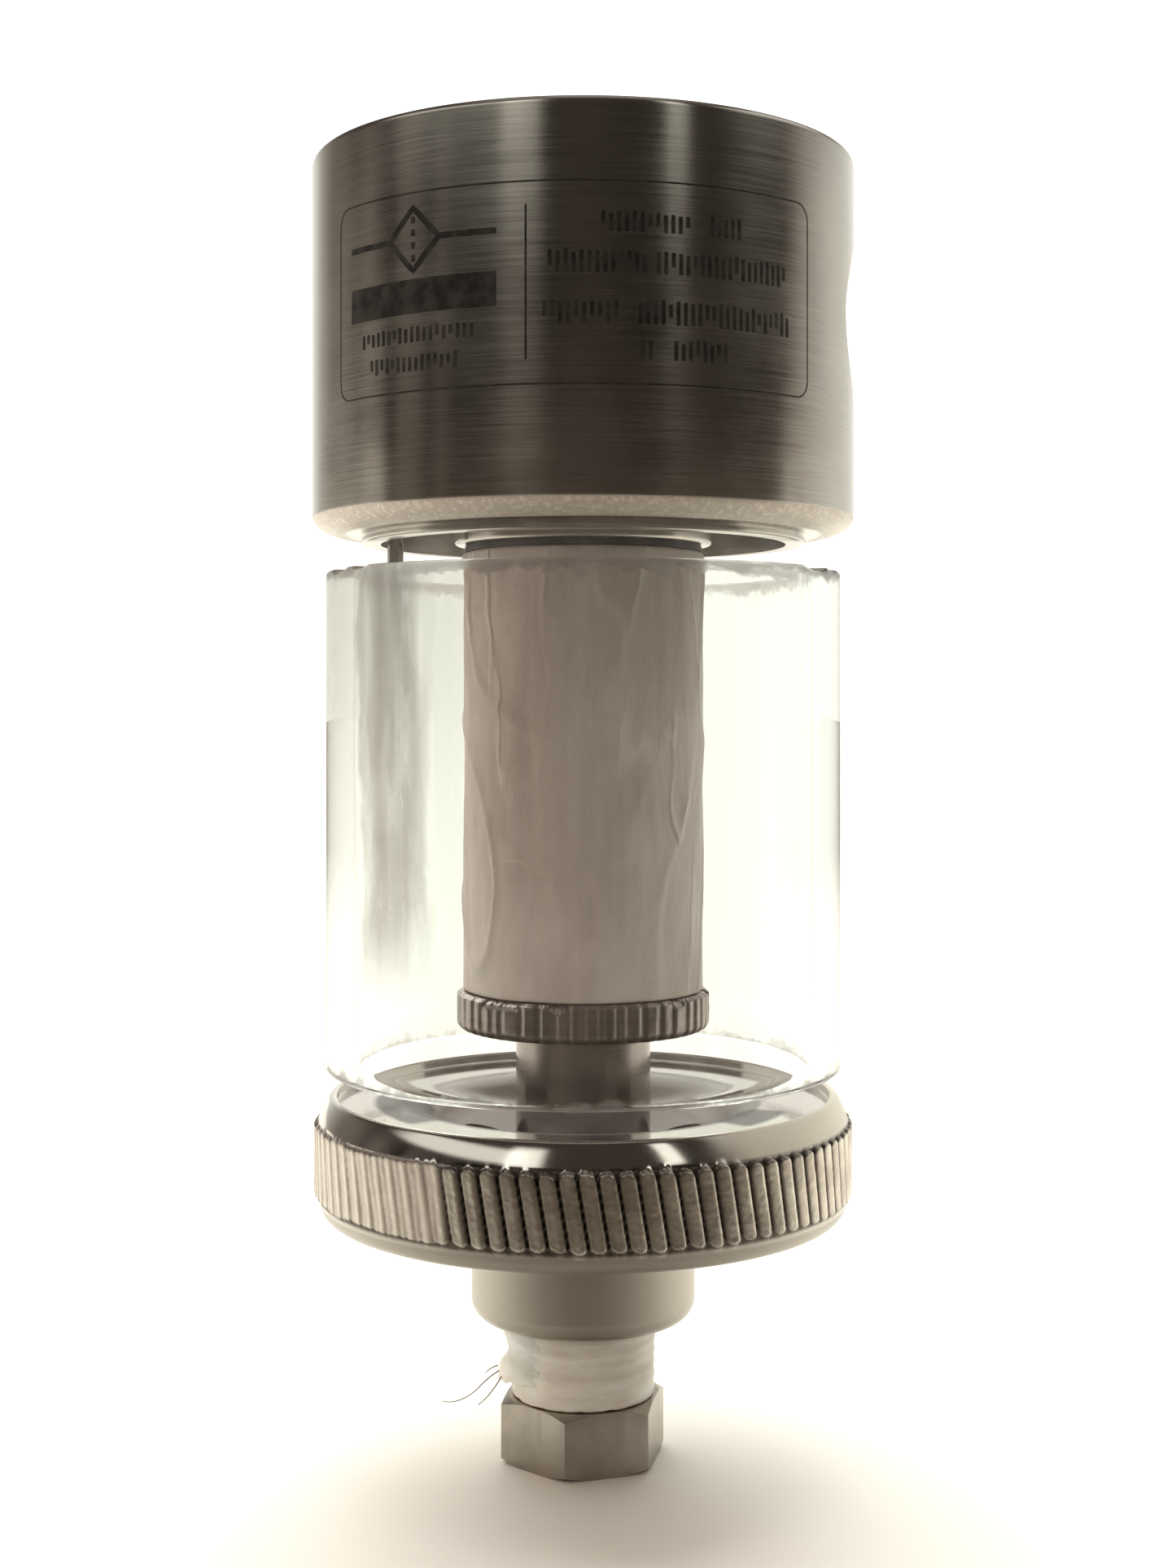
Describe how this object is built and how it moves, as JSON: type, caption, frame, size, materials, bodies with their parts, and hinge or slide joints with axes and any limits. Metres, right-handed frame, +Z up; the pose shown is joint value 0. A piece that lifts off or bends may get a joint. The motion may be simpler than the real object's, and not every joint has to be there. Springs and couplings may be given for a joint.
{
  "type": "compressed air filter",
  "caption": "Small inline compressed air filter: round steel head with side ports, tubular element in a glass bowl, knurled screw-on base and hexagon drain plug.",
  "frame": {"origin": "on the filter's axis, at the bottom of the drain plug it stands on", "axes": "+Z up along the axis, +X towards the inlet port (the port axis is turned 6 degrees from it), -Y the front"},
  "size_m": [0.04, 0.04, 0.0954],
  "materials": {
    "head_steel": "brushed around, satin",
    "rod_steel": "plain",
    "pin_steel": "bright",
    "clear_rubber": "clear silicone",
    "black_rubber": "matte",
    "filter_media": "matte bonded fibre",
    "nut_steel": "straight knurl",
    "stem_steel": "turned, bright",
    "bowl_glass": "clear",
    "base_steel": "polished shoulder, knurled band",
    "thread_tape": "thin wrapped tape",
    "plug_steel": "satin"
  },
  "bodies": {
    "head": {"head": "head_steel", "tie_rod": "rod_steel", "locating_pin": "pin_steel", "top_bowl_seal": "clear_rubber", "element_top_gasket": "black_rubber"},
    "element": {"filter_element": "filter_media"},
    "retainer": {"retainer_nut": "nut_steel", "stem": "stem_steel"},
    "bowl": {"glass_bowl": "bowl_glass", "bottom_bowl_seal": "clear_rubber"},
    "base": {"knurled_base": "base_steel"},
    "tape": {"thread_tape": "thread_tape"},
    "plug": {"drain_plug": "plug_steel"}
  },
  "joints": [
    {"name": "element_drop", "type": "slide", "parent": "head", "child": "element", "axis": [0, 0, -1], "range_m": [0, 0.006]},
    {"name": "retainer_turn", "type": "hinge", "parent": "element", "child": "retainer", "pos_m": [0, 0, 0.0333], "axis": [0, 0, -1], "range_deg": [0, 2160]},
    {"name": "bowl_drop", "type": "slide", "parent": "retainer", "child": "bowl", "axis": [0, 0, -1], "range_m": [0, 0.0035]},
    {"name": "base_turn", "type": "hinge", "parent": "bowl", "child": "base", "pos_m": [0, 0, 0.0225], "axis": [0, 0, -1], "range_deg": [0, 1260]},
    {"name": "tape_drop", "type": "slide", "parent": "base", "child": "tape", "axis": [0, 0, -1], "range_m": [0, 0.00517]},
    {"name": "plug_turn", "type": "hinge", "parent": "tape", "child": "plug", "pos_m": [0, 0, 0.0025], "axis": [0, 0, -1], "range_deg": [0, 1980]}
  ],
  "couplings": [
    {"joint": "retainer_turn", "follows": "element_drop", "rad_per_m": 6283},
    {"joint": "base_turn", "follows": "bowl_drop", "rad_per_m": 6283},
    {"joint": "plug_turn", "follows": "tape_drop", "rad_per_m": 6679}
  ]
}
